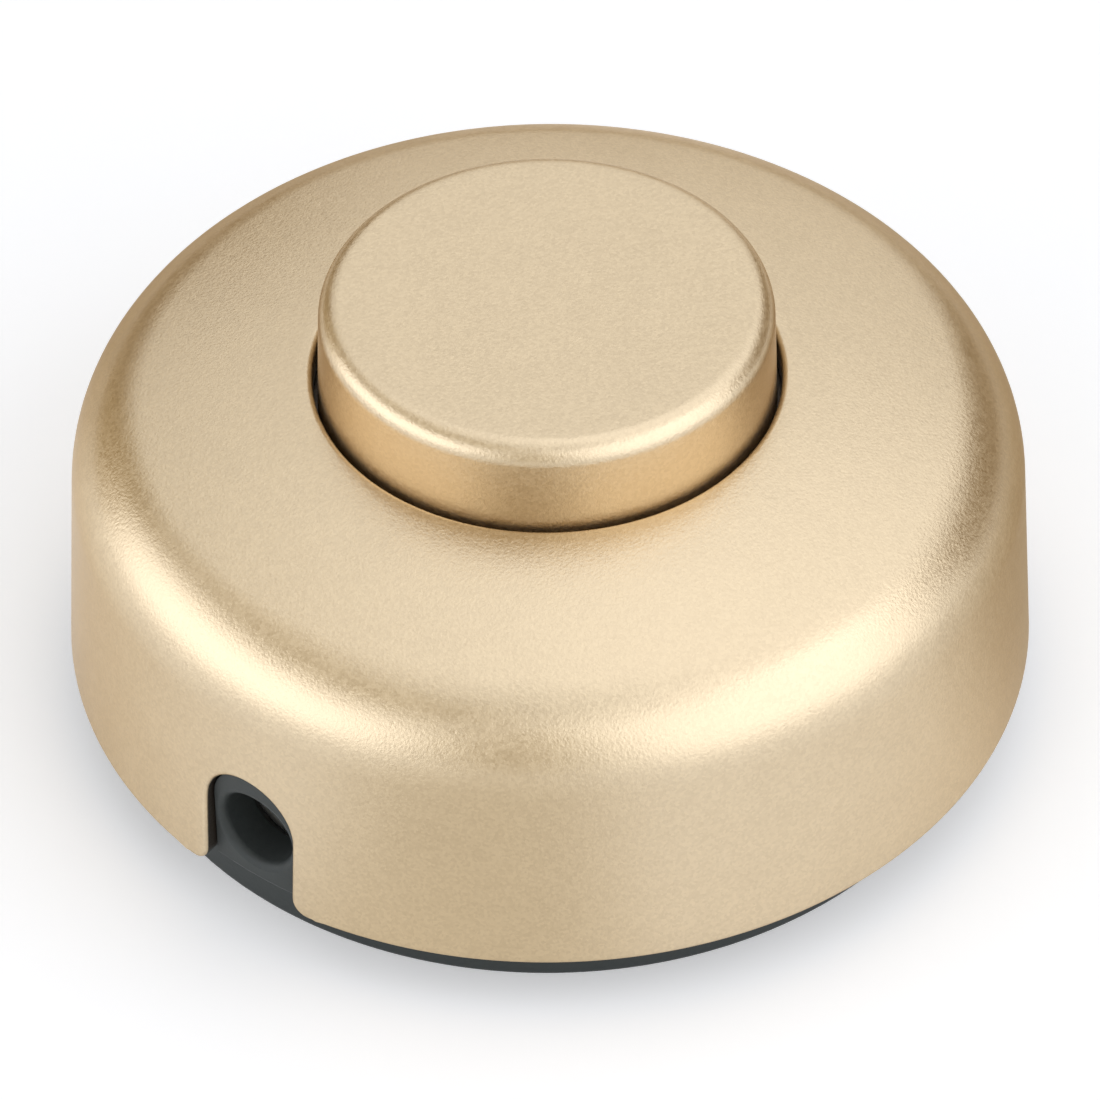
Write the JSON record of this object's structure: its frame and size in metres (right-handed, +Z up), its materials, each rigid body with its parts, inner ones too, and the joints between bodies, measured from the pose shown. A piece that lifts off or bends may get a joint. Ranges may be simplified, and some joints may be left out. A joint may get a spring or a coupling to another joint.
{
  "type": "inline foot switch",
  "caption": "Round floor switch for a lamp cord: crowned satin gold cover and push button on a dark grey base, with a cord entry at each end",
  "frame": {"origin": "middle of the underside, on the floor that the switch lies on", "axes": "+Z up along the button's travel, X along the cord from one entry to the other"},
  "size_m": [0.0614, 0.062, 0.0309],
  "materials": {
    "gold_cover": "satin gold metallic lacquer on moulded plastic",
    "gold_button": "satin gold metallic lacquer on moulded plastic",
    "grey_base": "dark grey moulded plastic, fine matte grain",
    "white_plunger": "natural acetal",
    "white_rotor": "natural acetal",
    "black_housing": "black moulded plastic",
    "natural_clamp": "natural white moulded plastic",
    "spring_steel": "bright spring steel",
    "axle_steel": "ground steel",
    "zinc_screws": "zinc plated steel",
    "brass": "plain brass",
    "bronze": "rolled phosphor bronze",
    "contact_silver": "silver contact alloy"
  },
  "bodies": {
    "housing": {"cover": "gold_cover", "base": "grey_base", "return_spring": "spring_steel", "rotor_axle": "axle_steel", "rotor_housing": "black_housing", "detent_spring": "spring_steel", "contact_strip_in": "bronze", "contact_strip_out": "bronze", "contact_rivets": "contact_silver", "line_terminal_in": "brass", "line_terminal_out": "brass", "neutral_connector": "brass", "terminal_screws": "zinc_screws", "cord_clamp_in": "natural_clamp", "cord_clamp_out": "natural_clamp", "cord_seat_in": "natural_clamp", "cord_seat_out": "natural_clamp", "clamp_screws": "zinc_screws", "housing_screws": "zinc_screws", "cover_screws": "zinc_screws"},
    "push_button": {"button": "gold_button", "plunger": "white_plunger"},
    "rotor": {"ratchet_rotor": "white_rotor", "contact_cross": "brass"}
  },
  "joints": [
    {"name": "button_press", "type": "slide", "parent": "housing", "child": "push_button", "axis": [0, 0, -1], "range_m": [0, 0.004], "stiffness_N_per_m": 500, "springref_m": -0.006, "deforming": ["return_spring"]},
    {"name": "rotor_turn", "type": "hinge", "parent": "housing", "child": "rotor", "pos_m": [0, 0, 0.0041], "axis": [0, 0, 1], "range_deg": [0, 40], "deforming": ["detent_spring"]}
  ],
  "couplings": [
    {"joint": "rotor_turn", "follows": "button_press", "rad_per_m": 174.5}
  ]
}
